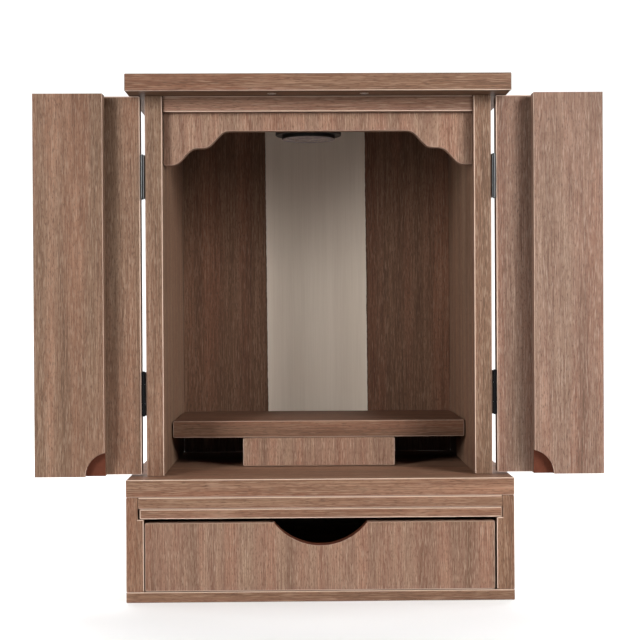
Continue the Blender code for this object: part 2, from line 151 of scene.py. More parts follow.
def add_node(
    tree: bpy.types.NodeTree,
    kind: str,
    inputs: dict | None = None,
    stops: list[tuple[float, str]] | None = None,
    **settings: object,
) -> bpy.types.Node:
    """Add a shader node with its settings, values and links.

    Args:
        tree: The material's node tree.
        kind: The node's type, such as "ShaderNodeMix".
        inputs: Socket name or number to a value or to another node's output.
        stops: A colour ramp's positions and hex colours.
        settings: Properties of the node itself.

    Returns:
        The new node.
    """
    made = tree.nodes.new(kind)
    for key, value in settings.items():
        setattr(made, key, value)
    for socket, value in (inputs or {}).items():
        if isinstance(value, bpy.types.NodeSocket):
            tree.links.new(value, made.inputs[socket])
        else:
            made.inputs[socket].default_value = value
    if stops:
        ramp = made.color_ramp
        while len(ramp.elements) < len(stops):
            ramp.elements.new(1.0)
        for element, (position, hex_colour) in zip(ramp.elements, stops):
            element.position = position
            element.color = linear_colour(hex_colour)
    return made


def new_material(name: str) -> tuple[bpy.types.Material, bpy.types.NodeTree, bpy.types.Node]:
    """Start a material.

    Args:
        name: The material's name.

    Returns:
        The material, its node tree and its Principled shader.
    """
    material = bpy.data.materials.new(name)
    material.use_nodes = True
    tree = material.node_tree
    return material, tree, tree.nodes["Principled BSDF"]


@dataclass(frozen=True)
class WalnutLaminate:
    """Walnut-print paper foil on fibreboard, pressed flat and satin.

    The eye sees fine dark and light fibres along the grain, short pores, slow
    reddish and greenish bands, and almost no gloss. The real print's fibres
    and pores are 0.1 to 0.2 mm wide, too fine for the render, so they are
    drawn about three times as wide. Each mark's size is its width across the
    grain and its length along it.
    """

    grain: Grain
    tone: Tone = Tone.FRONT
    seed: int = 0
    fibre_mm: tuple[float, float] = (0.5, 46.0)
    pore_mm: tuple[float, float] = (0.55, 3.4)
    fleck_mm: tuple[float, float] = (0.605, 10.2)
    band_mm: tuple[float, float] = (13.0, 420.0)
    hue_mm: tuple[float, float] = (16.9, 336.0)
    sway_wave_mm: tuple[float, float] = (22.0, 120.0)
    sway_mm: float = 0.8
    plank_stretch: float = 1.8
    pore_depth_mm: float = 0.06
    roughness: float = 0.6
    roughness_play: float = 0.06
    specular: float = 0.2

    def palette(self) -> tuple[str, str, str, str]:
        """Give the colours of this sheet of the print.

        Returns:
            The hex colours of its dark, middle, light and palest fibres.
        """
        return {
            Tone.FRONT: ("5E4638", "7B604E", "8D715E", "A38A76"),
            Tone.DOOR: ("5F483C", "7C6254", "8E7465", "A48D7E"),
            Tone.PLANK: ("5E4435", "7C5D4A", "8E6D59", "A48670"),
            Tone.LIGHT: ("674C3A", "856859", "977A68", "AD9480"),
            Tone.DARK: ("463227", "604735", "715642", "866D56"),
            Tone.NICHE: ("533C30", "694D3C", "785A48", "8B6F5B"),
        }[self.tone]

    def stretched(
        self,
        tree: bpy.types.NodeTree,
        place: bpy.types.NodeSocket,
        size_mm: tuple[float, float],
        shift: float,
    ) -> bpy.types.NodeSocket:
        """Scale a place in millimetres so that one unit is one mark of the print.

        Args:
            tree: The material's node tree.
            place: The place in millimetres.
            size_mm: The mark's width across the grain and its length along it.
            shift: An offset that keeps one layer of marks apart from another.

        Returns:
            The stretched place.
        """
        width, length = size_mm
        scale = [1.0 / width] * 3
        scale[self.grain.value] = 1.0 / length
        # Uneven factors, so that no two boards and no two layers start at the same marks.
        offset = [shift + self.seed * 3.7, shift * 1.7 + self.seed * 5.3, shift * 0.6 + self.seed * 7.9]
        mapping = add_node(tree, "ShaderNodeMapping", {"Vector": place, "Scale": scale, "Location": offset})
        return mapping.outputs["Vector"]

    def swayed_place(self, tree: bpy.types.NodeTree) -> bpy.types.NodeSocket:
        """Give the place on the board, moved a little so that no line runs dead straight.

        Args:
            tree: The material's node tree.

        Returns:
            The place in millimetres.
        """
        spot = add_node(tree, "ShaderNodeTexCoord").outputs["Object"]
        in_mm = add_node(
            tree, "ShaderNodeVectorMath", {0: spot, 1: (1.0 / MM,) * 3}, operation="MULTIPLY"
        ).outputs["Vector"]
        wave = self.stretched(tree, in_mm, self.sway_wave_mm, 3.0)
        sway = add_node(tree, "ShaderNodeTexNoise", {"Vector": wave, "Scale": 1.0, "Detail": 1.0})
        centred = add_node(
            tree, "ShaderNodeVectorMath", {0: sway.outputs["Color"], 1: (0.5, 0.5, 0.5)}, operation="SUBTRACT"
        ).outputs["Vector"]
        moved = add_node(
            tree, "ShaderNodeVectorMath", {0: centred, "Scale": self.sway_mm}, operation="SCALE"
        ).outputs["Vector"]
        return add_node(
            tree, "ShaderNodeVectorMath", {0: in_mm, 1: moved}, operation="ADD"
        ).outputs["Vector"]

    def layers(self, tree: bpy.types.NodeTree) -> dict[str, bpy.types.NodeSocket]:
        """Add the layers of marks that the print is made of.

        Args:
            tree: The material's node tree.

        Returns:
            Each layer's name and its strength from 0 to 1.
        """
        place = self.swayed_place(tree)
        stretch = self.plank_stretch if self.grain is Grain.ACROSS else 1.0
        made = {}
        for label, (width, length), longer, detail, shift in (
            ("fibre", self.fibre_mm, stretch, 2.0, 11.0),
            ("pore", self.pore_mm, stretch, 1.0, 23.0),
            ("fleck", self.fleck_mm, stretch, 1.0, 37.0),
            ("band", self.band_mm, 1.0, 2.0, 53.0),
            ("hue", self.hue_mm, 1.0, 1.0, 71.0),
        ):
            made[label] = add_node(
                tree,
                "ShaderNodeTexNoise",
                {
                    "Vector": self.stretched(tree, place, (width, length * longer), shift),
                    "Scale": 1.0,
                    "Detail": detail,
                    "Roughness": 0.6,
                },
            ).outputs["Fac"]
        return made

    def ground(
        self, tree: bpy.types.NodeTree, layers: dict[str, bpy.types.NodeSocket]
    ) -> bpy.types.NodeSocket:
        """Colour the fibres and bands, and tint them reddish and greenish.

        Args:
            tree: The material's node tree.
            layers: The print's layers by name.

        Returns:
            The colour under the pores and flecks.
        """
        dark, middle, light, pale = self.palette()
        blend = add_node(
            tree,
            "ShaderNodeMix",
            {"Factor": 0.36, "A": layers["fibre"], "B": layers["band"]},
            data_type="FLOAT",
        ).outputs["Result"]
        tone = add_node(
            tree,
            "ShaderNodeValToRGB",
            {"Fac": blend},
            stops=[(0.33, dark), (0.46, middle), (0.56, light), (0.67, pale)],
        ).outputs["Color"]
        hue_colour = add_node(
            tree,
            "ShaderNodeValToRGB",
            {"Fac": layers["hue"]},
            stops=[(0.38, "B9876F"), (0.5, "A38C7E"), (0.62, "928C7C")],
        ).outputs["Color"]
        return add_node(
            tree,
            "ShaderNodeMix",
            {"Factor": 0.34, "A": tone, "B": hue_colour},
            data_type="RGBA",
            blend_type="SOFT_LIGHT",
        ).outputs["Result"]

    def material(self) -> bpy.types.Material:
        """Build the laminate's shader.

        Returns:
            The material, made once for each tone, grain and seed.
        """
        name = f"walnut_laminate_{self.tone.value}_{self.grain.name.lower()}_{self.seed}"
        known = bpy.data.materials.get(name)
        if known is not None:
            return known
        dark, _, _, pale = self.palette()
        material, tree, shader = new_material(name)
        layers = self.layers(tree)
        pores = add_node(
            tree,
            "ShaderNodeMapRange",
            {"Value": layers["pore"], "From Min": 0.54, "From Max": 0.66, "To Max": 0.75},
        ).outputs["Result"]
        pored = add_node(
            tree,
            "ShaderNodeMix",
            {"Factor": pores, "A": self.ground(tree, layers), "B": linear_colour(dark)},
            data_type="RGBA",
        ).outputs["Result"]
        flecks = add_node(
            tree,
            "ShaderNodeMapRange",
            {"Value": layers["fleck"], "From Min": 0.55, "From Max": 0.68, "To Max": 0.6},
        ).outputs["Result"]
        colour = add_node(
            tree,
            "ShaderNodeMix",
            {"Factor": flecks, "A": pored, "B": linear_colour(pale)},
            data_type="RGBA",
        ).outputs["Result"]
        rough = add_node(
            tree,
            "ShaderNodeMapRange",
            {
                "Value": layers["fibre"],
                "From Min": 0.3,
                "From Max": 0.7,
                "To Min": self.roughness - self.roughness_play,
                "To Max": self.roughness + self.roughness_play,
            },
        ).outputs["Result"]
        bump = add_node(
            tree,
            "ShaderNodeBump",
            {"Height": pores, "Strength": 0.25, "Distance": self.pore_depth_mm * MM},
            invert=True,
        ).outputs["Normal"]
        tree.links.new(colour, shader.inputs["Base Color"])
        tree.links.new(rough, shader.inputs["Roughness"])
        tree.links.new(bump, shader.inputs["Normal"])
        shader.inputs["Specular IOR Level"].default_value = self.specular
        return material


@dataclass(frozen=True)
class PlainFinish:
    """A finish of one base colour with a fine mottle, for small parts.

    Fields give its name, its colour, how rough and metallic it is, the size
    and depth of its mottle and of its surface texture, how much clear coat
    lies on it, and how strongly it reflects.
    """

    name: str
    hex_colour: str
    roughness: float
    metallic: float = 0.0
    mottle_mm: float = 1.5
    mottle: float = 0.12
    texture_depth_mm: float = 0.01
    coat: float = 0.0
    specular: float = 0.5
    roughness_play: float = 0.08

    def material(self) -> bpy.types.Material:
        """Build the finish's shader.

        Returns:
            The material, made once for each finish.
        """
        known = bpy.data.materials.get(self.name)
        if known is not None:
            return known
        material, tree, shader = new_material(self.name)
        spot = add_node(tree, "ShaderNodeTexCoord").outputs["Object"]
        noise = add_node(
            tree,
            "ShaderNodeTexNoise",
            {"Vector": spot, "Scale": 1.0 / (self.mottle_mm * MM), "Detail": 3.0, "Roughness": 0.6},
        ).outputs["Fac"]
        base = linear_colour(self.hex_colour)
        darker = tuple(channel * (1.0 - self.mottle) for channel in base[:3]) + (1.0,)
        lighter = tuple(min(1.0, channel * (1.0 + self.mottle)) for channel in base[:3]) + (1.0,)
        colour = add_node(
            tree, "ShaderNodeMix", {"Factor": noise, "A": darker, "B": lighter}, data_type="RGBA"
        ).outputs["Result"]
        rough = add_node(
            tree,
            "ShaderNodeMapRange",
            {
                "Value": noise,
                "To Min": self.roughness - self.roughness_play,
                "To Max": self.roughness + self.roughness_play,
            },
        ).outputs["Result"]
        bump = add_node(
            tree, "ShaderNodeBump", {"Height": noise, "Strength": 0.4, "Distance": self.texture_depth_mm * MM}
        ).outputs["Normal"]
        tree.links.new(colour, shader.inputs["Base Color"])
        tree.links.new(rough, shader.inputs["Roughness"])
        tree.links.new(bump, shader.inputs["Normal"])
        shader.inputs["Metallic"].default_value = self.metallic
        shader.inputs["Coat Weight"].default_value = self.coat
        shader.inputs["Specular IOR Level"].default_value = self.specular
        return material


@dataclass(frozen=True)
class PaleFiguredSheet:
    """Pale wood-print paper with close upright lines, dull as uncoated card.

    The print's real lines are about 0.3 mm wide, too fine for the render, so
    they are drawn three times as wide. Each mark's size is its width and its
    length up the sheet.
    """

    line_mm: tuple[float, float] = (0.9, 60.0)
    band_mm: tuple[float, float] = (9.0, 360.0)
    relief_mm: float = 0.05
    roughness: float = 0.7
    specular: float = 0.2

    def layer(
        self, tree: bpy.types.NodeTree, spot: bpy.types.NodeSocket, size_mm: tuple[float, float]
    ) -> bpy.types.NodeSocket:
        """Add one layer of upright marks.

        Args:
            tree: The material's node tree.
            spot: The place in metres.
            size_mm: One mark's width and its length up the sheet.

        Returns:
            The layer's strength from 0 to 1.
        """
        width, length = size_mm[0] * MM, size_mm[1] * MM
        scale = (1.0 / width, 1.0 / width, 1.0 / length)
        place = add_node(tree, "ShaderNodeMapping", {"Vector": spot, "Scale": scale}).outputs["Vector"]
        return add_node(
            tree, "ShaderNodeTexNoise", {"Vector": place, "Scale": 1.0, "Detail": 2.0, "Roughness": 0.6}
        ).outputs["Fac"]

    def material(self) -> bpy.types.Material:
        """Build the sheet's shader.

        Returns:
            The new material.
        """
        material, tree, shader = new_material("pale_print_paper")
        spot = add_node(tree, "ShaderNodeTexCoord").outputs["Object"]
        lines = self.layer(tree, spot, self.line_mm)
        bands = self.layer(tree, spot, self.band_mm)
        both = add_node(
            tree, "ShaderNodeMix", {"Factor": 0.5, "A": lines, "B": bands}, data_type="FLOAT"
        ).outputs["Result"]
        colour = add_node(
            tree,
            "ShaderNodeValToRGB",
            {"Fac": both},
            stops=[(0.34, "DCCDBC"), (0.5, "E1D3C2"), (0.66, "E6D8C8")],
        ).outputs["Color"]
        bump = add_node(
            tree, "ShaderNodeBump", {"Height": lines, "Strength": 0.1, "Distance": self.relief_mm * MM}
        ).outputs["Normal"]
        tree.links.new(colour, shader.inputs["Base Color"])
        tree.links.new(bump, shader.inputs["Normal"])
        shader.inputs["Roughness"].default_value = self.roughness
        shader.inputs["Specular IOR Level"].default_value = self.specular
        return material


# Cut paper edge of the foil where it is folded, with a painted highlight of the light that catches the arris: a
# cream line, brightest where it is widest.
PALE_EDGE_AND_HIGHLIGHT = PlainFinish("cream_folded_foil_edge", "C9AE9C", 0.6, mottle_mm=2.0, mottle=0.08, specular=0.2)
# The same fold pressed closed: the line is only a little lighter than the print.
FAINT_CORE = PlainFinish("closed_foil_fold", "9C8272", 0.6, mottle_mm=2.0, mottle=0.1, specular=0.2)
# Foil rubbed at an outer corner: a thin greyish line.
RUBBED_CORE = PlainFinish("rubbed_foil_corner", "7C685C", 0.6, mottle_mm=2.0, mottle=0.1, specular=0.2)
# Fibreboard stained after routing: matt reddish brown, darker where it faces down.
POCKET_CORE = PlainFinish(
    "stained_routed_fibreboard", "5E3324", 0.7, mottle_mm=1.2, mottle=0.25, specular=0.1
)
# Steel under thin gloss black enamel: near black, with a sharp bright line along each knuckle.
BLACK_ENAMEL = PlainFinish(
    "black_enamelled_steel", "08080A", 0.14, mottle_mm=3.0, mottle=0.15, texture_depth_mm=0.001
)
# Nickel plated on a turned steel cup: a bright disc that mirrors what lies below it.
BRIGHT_NICKEL = PlainFinish("nickelled_magnet", "C9C6C0", 0.28, metallic=1.0, mottle_mm=0.5, mottle=0.06)
# ABS from a fine-textured mould: even near-black with a broad soft sheen.
LAMP_CASE = PlainFinish("black_moulded_abs", "1C1D1B", 0.45, mottle_mm=0.4, mottle=0.15)
# Milky acrylic from a polished mould, unlit: a cool grey face with a soft gloss.
MILKY_ACRYLIC = PlainFinish("milky_acrylic_lens", "9C9092", 0.22, mottle_mm=6.0, mottle=0.1, coat=0.3)


def link_mesh(name: str, builder: bmesh.types.BMesh) -> bpy.types.Object:
    """Turn a bmesh into an object of the scene and free it.

    Args:
        name: The new object's name.
        builder: The finished bmesh, which can't be used afterwards.

    Returns:
        The new object.
    """
    mesh = bpy.data.meshes.new(name)
    builder.to_mesh(mesh)
    builder.free()
    piece = bpy.data.objects.new(name, mesh)
    bpy.context.scene.collection.objects.link(piece)
    return piece


def attach(piece: bpy.types.Object, node: str) -> bpy.types.Object:
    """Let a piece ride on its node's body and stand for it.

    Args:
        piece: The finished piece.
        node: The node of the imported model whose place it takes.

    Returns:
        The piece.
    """
    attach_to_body(piece, BODY_OF[node])
    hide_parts(node)
    LOG.info("%s on %s, %d faces", piece.name, BODY_OF[node], len(piece.data.polygons))
    return piece


def join_rings(
    builder: bmesh.types.BMesh, first: list[bmesh.types.BMVert], second: list[bmesh.types.BMVert]
) -> list[bmesh.types.BMFace]:
    """Close the band between two rings of equally many vertices.

    Args:
        builder: The mesh that holds both rings.
        first: One ring, in order.
        second: The other ring, in the same order.

    Returns:
        The new faces.
    """
    faces = []
    for number in range(len(first)):
        after = (number + 1) % len(first)
        faces.append(builder.faces.new((first[number], first[after], second[after], second[number])))
    return faces


def turned(
    name: str, outline: list[tuple[float, float]], centre: tuple[float, float], steps: int = 64
) -> bpy.types.Object:
    """Spin an outline of (radius, z) about an upright line.

    Args:
        name: The new object's name.
        outline: The profile, from the axis at the top out and back to the axis.
        centre: The line's x and y.
        steps: How many sides the round has.

    Returns:
        The turned object, shaded smooth with sharp rims.
    """
    builder = bmesh.new()
    verts = [builder.verts.new((centre[0] + radius, centre[1], z)) for radius, z in outline]
    edges = [builder.edges.new(pair) for pair in zip(verts, verts[1:])]
    bmesh.ops.spin(
        builder,
        geom=verts + edges,
        cent=(centre[0], centre[1], 0.0),
        axis=(0.0, 0.0, 1.0),
        angle=math.tau,
        steps=steps,
        use_merge=True,
        use_duplicate=False,
    )
    bmesh.ops.remove_doubles(builder, verts=builder.verts, dist=WELD)
    bmesh.ops.recalc_face_normals(builder, faces=builder.faces)
    piece = link_mesh(name, builder)
    piece.data.shade_smooth()
    piece.data.set_sharp_from_angle(angle=SHARP_ANGLE)
    return piece


@dataclass(frozen=True)
class EasedBoard:
    """A laminated board with eased arrises, some of which show the foil's pale cut edge with a painted highlight
    on it.

    Fields give its node, the grain of its long faces and of its ends, its
    sheet of the print, the arrises that show bright, faint or rubbed, how wide
    a bright arris and any other arris is, how deep an arris goes into the
    front against its width, the shortest edge that is eased (small holes stay
    sharp when it is set), what every front arris but the top one shows (PRINT
    where only the listed ones show), whether its underside takes the darker
    sheet as painted shade, the least turn between two faces that counts as an
    edge, before any arris is cut and after the bright ones are, and the lean
    towards the front from which a face is the front itself and no arris.
    """

    node: str
    grain: Grain
    end_grain: Grain
    tone: Tone = Tone.FRONT
    seed: int = 0
    bright: tuple[Arris, ...] = ()
    faint: tuple[Arris, ...] = ()
    rubbed: tuple[Arris, ...] = ()
    bright_mm: float = 0.75
    arris_mm: float = 0.6
    depth_share: float = 0.18
    least_edge_mm: float = 0.0
    all_front: Skin = Skin.PRINT
    painted_shade_underside: bool = False
    sharp_deg: float = 40.0
    square_deg: float = 60.0
    flush_from: float = 0.93

    def shape(self) -> bmesh.types.BMesh:
        """Copy the node's solid, clean its flat faces and ease its arrises.

        Returns:
            The board's mesh.
        """
        builder = bmesh.new()
        builder.from_mesh(frame["nodes"][self.node].data)
        bmesh.ops.remove_doubles(builder, verts=builder.verts, dist=WELD)
        bmesh.ops.dissolve_limit(builder, angle_limit=FLAT_ANGLE, verts=builder.verts, edges=builder.edges)
        wide = [edge for edge in self.sharp_edges(builder, self.sharp_deg) if self.is_bright(edge)]
        if wide:
            self.ease(builder, wide, self.bright_mm)
        least_deg = self.square_deg if wide else self.sharp_deg
        self.ease(builder, self.sharp_edges(builder, least_deg), self.arris_mm)
        builder.normal_update()
        return builder

    def sharp_edges(self, builder: bmesh.types.BMesh, least_deg: float) -> list[bmesh.types.BMEdge]:
        """List the edges whose two faces turn by more than an angle.

        Args:
            builder: The board's mesh.
            least_deg: The angle in degrees.

        Returns:
            The edges that are long enough to ease.
        """
        return [
            edge for edge in builder.edges
            if len(edge.link_faces) == 2
            and edge.calc_face_angle() > math.radians(least_deg)
            and edge.calc_length() >= self.least_edge_mm * MM
        ]

    def is_bright(self, edge: bmesh.types.BMEdge) -> bool:
        """Tell whether an edge is one of the bright arrises."""
        between = (edge.link_faces[0].normal + edge.link_faces[1].normal).normalized()
        return any(arris.holds(between) for arris in self.bright)

    def ease(self, builder: bmesh.types.BMesh, edges: list[bmesh.types.BMEdge], width_mm: float) -> None:
        """Cut one flat arris along each edge.

        Args:
            builder: The board's mesh.
            edges: The edges to cut.
            width_mm: How far the cut reaches along each face.
        """
        bmesh.ops.bevel(
            builder,
            geom=edges,
            offset=width_mm * MM,
            offset_type="OFFSET",
            segments=1,
            profile=0.5,
            affect="EDGES",
            clamp_overlap=self.least_edge_mm == 0.0,
        )
        builder.normal_update()

    def flatten_front(self, builder: bmesh.types.BMesh) -> None:
        """Press the front arrises nearly flush, as a folded foil edge lies.

        Args:
            builder: The board's mesh.
        """
        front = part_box(self.node)[0].y
        # A twentieth past the widest arris, so that rounding leaves none of its points behind.
        deepest = front + max(self.bright_mm, self.arris_mm) * MM * 1.05
        for vertex in builder.verts:
            if vertex.co.y < deepest:
                vertex.co.y = front + (vertex.co.y - front) * self.depth_share

    def skin_of(self, normal: Vector) -> Skin:
        """Tell what a face shows, before the front arrises are pressed flush.

        Args:
            normal: The face's normal.

        Returns:
            The skin, which is also the face's material slot.
        """
        listed = ((Skin.BRIGHT, self.bright), (Skin.FAINT, self.faint), (Skin.RUBBED, self.rubbed))
        for skin, arrises in listed:
            if any(arris.holds(normal) for arris in arrises):
                return skin
        if self.all_front and LEANING < -normal.y < self.flush_from and normal.z < LEANING:
            return self.all_front
        # A downward face takes the darker sheet: painted shade.
        if self.painted_shade_underside and -normal.z > SQUARE:
            return Skin.DARK
        if abs(normal[self.grain.value]) > SQUARE:
            return Skin.END
        return Skin.PRINT

    def build(self) -> bpy.types.Object:
        """Build and dress the board.

        Returns:
            The board, which stands for its node.
        """
        builder = self.shape()
        for face in builder.faces:
            face.material_index = self.skin_of(face.normal)
        self.flatten_front(builder)
        piece = link_mesh(f"{self.node}_finished", builder)
        # BRIGHT carries a painted highlight on the pale foil edge, and DARK is painted shade.
        finishes = {
            Skin.PRINT: WalnutLaminate(self.grain, self.tone, self.seed),
            Skin.BRIGHT: PALE_EDGE_AND_HIGHLIGHT,
            Skin.FAINT: FAINT_CORE,
            Skin.END: WalnutLaminate(self.end_grain, self.tone, self.seed + 1),
            Skin.DARK: WalnutLaminate(self.grain, Tone.DARK, self.seed),
            Skin.RUBBED: RUBBED_CORE,
        }
        for skin in Skin:
            piece.data.materials.append(finishes[skin].material())
        return attach(piece, self.node)


@dataclass(frozen=True)
class Carcass:
    """The fixed boards of the upper cabinet, with the pale strip and the door magnets.

    Besides the boards, fields give how far the strip leans, how far its cut
    edges stray and how much of that each row of the edge keeps of the row
    below, and the width of a magnet's rim.
    """

    strip_lean_deg: float = 0.36
    strip_ragged_mm: float = 0.16
    strip_ragged_kept: float = 0.6
    strip_ragged_seed: int = 11
    strip_rows: int = 160
    magnet_rim_mm: float = 0.5
    boards: tuple[EasedBoard, ...] = (
        # Its underside is cut from the darker sheet as painted shade.
        EasedBoard(
            "top_board", Grain.ACROSS, Grain.DEEP, tone=Tone.PLANK, seed=1,
            bright=(Arris.FOOT,), rubbed=(Arris.TOP, Arris.LEFT, Arris.RIGHT),
            least_edge_mm=5.0, painted_shade_underside=True,
        ),
        # The lighter sheet and the bright top arris paint light into the shade under the top board.
        EasedBoard(
            "head_rail", Grain.ACROSS, Grain.DEEP, tone=Tone.LIGHT, seed=2,
            bright=(Arris.FOOT, Arris.TOP),
        ),
        EasedBoard(
            "left_side_board", Grain.UPRIGHT, Grain.DEEP, seed=3,
            bright=(Arris.RIGHT,), faint=(Arris.LEFT,),
        ),
        EasedBoard(
            "right_side_board", Grain.UPRIGHT, Grain.DEEP, seed=34,
            bright=(Arris.LEFT,), faint=(Arris.RIGHT,),
        ),
        EasedBoard(
            "floor_board", Grain.ACROSS, Grain.DEEP, tone=Tone.PLANK, seed=5,
            bright=(Arris.TOP,), faint=(Arris.FOOT, Arris.LEFT, Arris.RIGHT),
        ),
        EasedBoard("back_board", Grain.UPRIGHT, Grain.ACROSS, tone=Tone.NICHE, seed=6, arris_mm=0.3),
        EasedBoard(
            "scalloped_valance", Grain.UPRIGHT, Grain.ACROSS, tone=Tone.LIGHT, seed=7,
            arris_mm=0.4, all_front=Skin.FAINT,
        ),
    )

    def build(self) -> None:
        """Build every fixed board, the pale strip and the magnets."""
        for board in self.boards:
            board.build()
        self.build_strip()
        for node in ("left_door_magnet", "right_door_magnet"):
            self.build_magnet(node)

    def build_strip(self) -> None:
        """Build the pale strip, with ragged cut edges and a slight lean."""
        low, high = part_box("backdrop_strip")
        chance = random.Random(self.strip_ragged_seed)
        builder = bmesh.new()
        half = (high.x - low.x) / 2
        middle_x = (high.x + low.x) / 2
        middle_z = (low.z + high.z) / 2
        lean = math.tan(math.radians(self.strip_lean_deg))
        ragged = [0.0, 0.0]
        rings = []
        for step in range(self.strip_rows + 1):
            z = low.z + (high.z - low.z) * step / self.strip_rows
            for side in (0, 1):
                stray = chance.uniform(-1.0, 1.0) * self.strip_ragged_mm * MM
                ragged[side] = self.strip_ragged_kept * ragged[side] + stray
            centre = middle_x - (z - middle_z) * lean
            left = centre - half + ragged[0]
            right = centre + half + ragged[1]
            corners = ((left, low.y), (right, low.y), (right, high.y), (left, high.y))
            rings.append([builder.verts.new((x, y, z)) for x, y in corners])
        for below, above in zip(rings, rings[1:]):
            join_rings(builder, below, above)
        builder.faces.new(list(reversed(rings[0])))
        builder.faces.new(rings[-1])
        bmesh.ops.recalc_face_normals(builder, faces=builder.faces)
        piece = link_mesh("backdrop_strip_finished", builder)
        piece.data.materials.append(PaleFiguredSheet().material())
        attach(piece, "backdrop_strip")

    def build_magnet(self, node: str) -> None:
        """Build one door magnet: a steel cup with a disc set in its mouth.

        Args:
            node: The magnet's node.
        """
        low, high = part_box(node)
        radius = (high.x - low.x) / 2
        rim = self.magnet_rim_mm * MM
        # The disc lies a third of the rim's width inside the cup's mouth.
        outline = [
            (0.0, high.z),
            (radius, high.z),
            (radius, low.z + rim / 2),
            (radius - rim / 2, low.z),
            (radius - rim, low.z),
            (radius - rim * 1.2, low.z + rim / 3),
            (0.0, low.z + rim / 3),
        ]
        piece = turned(f"{node}_finished", outline, (low.x + radius, low.y + radius))
        piece.data.materials.append(BRIGHT_NICKEL.material())
        attach(piece, node)


@dataclass(frozen=True)
class Lamp:
    """The thin round lamp: a moulded case with a groove, and a milky lens.

    Fields give the groove's size and its height on the case, the width of the
    ring's lip, of its slope and of its black part against the lip, how deep
    the face is dished and how high it crowns again, and how finely they are
    drawn.
    """

    groove_mm: float = 0.6
    groove_height_share: float = 0.45
    lip_mm: float = 0.5
    lip_slope_share: float = 1.5
    lip_black_share: float = 0.55
    dish_mm: float = 0.3
    crown_mm: float = 0.3
    face_steps: int = 12
    round_steps: int = 96

    def build(self) -> None:
        """Build the case and the lens."""
        low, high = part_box("lamp_base")
        centre = ((low.x + high.x) / 2, (low.y + high.y) / 2)
        radius = (high.x - low.x) / 2
        groove = self.groove_mm * MM
        waist = low.z + (high.z - low.z) * self.groove_height_share
        outline = [
            (0.0, high.z),
            (radius - groove, high.z),
            (radius, high.z - groove),
            (radius, waist + groove),
            (radius - groove, waist + groove / 2),
            (radius - groove, waist - groove / 2),
            (radius, waist - groove),
            (radius, low.z + groove),
            (radius - groove, low.z),
            (0.0, low.z),
        ]
        case = turned("lamp_base_finished", outline, centre, self.round_steps)
        case.data.materials.append(LAMP_CASE.material())
        attach(case, "lamp_base")
        self.build_lens(centre)

    def build_lens(self, centre: tuple[float, float]) -> None:
        """Build the lens: a black ring with a bright lip, and the milky face dished into it.

        Args:
            centre: The lamp's middle in x and y.
        """
        low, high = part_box("lamp_lens")
        radius = (high.x - low.x) / 2
        lip = self.lip_mm * MM
        face_radius = radius - lip * self.lip_slope_share
        face_level = low.z + self.dish_mm * MM
        outline = [
            (0.0, high.z),
            (radius, high.z),
            (radius, low.z + lip / 2),
            (radius - lip / 2, low.z),
            (radius - lip, low.z),
            (face_radius, face_level),
        ]
        for step in range(1, self.face_steps + 1):
            share = 1.0 - step / self.face_steps
            lift = self.crown_mm * MM * (1.0 - share * share)
            outline.append((face_radius * share, face_level - lift))
        lens = turned("lamp_lens_finished", outline, centre, self.round_steps)
        lens.data.materials.append(MILKY_ACRYLIC.material())
        lens.data.materials.append(LAMP_CASE.material())
        for face in lens.data.polygons:
            reach = math.hypot(face.center.x - centre[0], face.center.y - centre[1])
            if reach > radius - lip * self.lip_black_share and face.normal.z > -SQUARE:
                face.material_index = 1
        attach(lens, "lamp_lens")


@dataclass(frozen=True)
class Shelf:
    """The loose shelf and the stand under it."""

    boards: tuple[EasedBoard, ...] = (
        # The darker niche sheet is painted shade, where the side board keeps light off the shelf.
        EasedBoard(
            "shelf_board", Grain.ACROSS, Grain.DEEP, tone=Tone.NICHE, seed=8,
            faint=(Arris.TOP, Arris.FOOT, Arris.LEFT, Arris.RIGHT),
        ),
        EasedBoard(
            # Every front arris shows the pale edge with a painted highlight, the foot one too, where no light
            # falls.
            "shelf_stand_front", Grain.UPRIGHT, Grain.ACROSS, tone=Tone.LIGHT, seed=9,
            arris_mm=0.55, all_front=Skin.BRIGHT,
        ),
        EasedBoard("shelf_stand_left", Grain.DEEP, Grain.DEEP, seed=10, arris_mm=0.3),
        EasedBoard("shelf_stand_right", Grain.DEEP, Grain.DEEP, seed=11, arris_mm=0.3),
    )

    def build(self) -> None:
        """Build the shelf and its stand."""
        for board in self.boards:
            board.build()


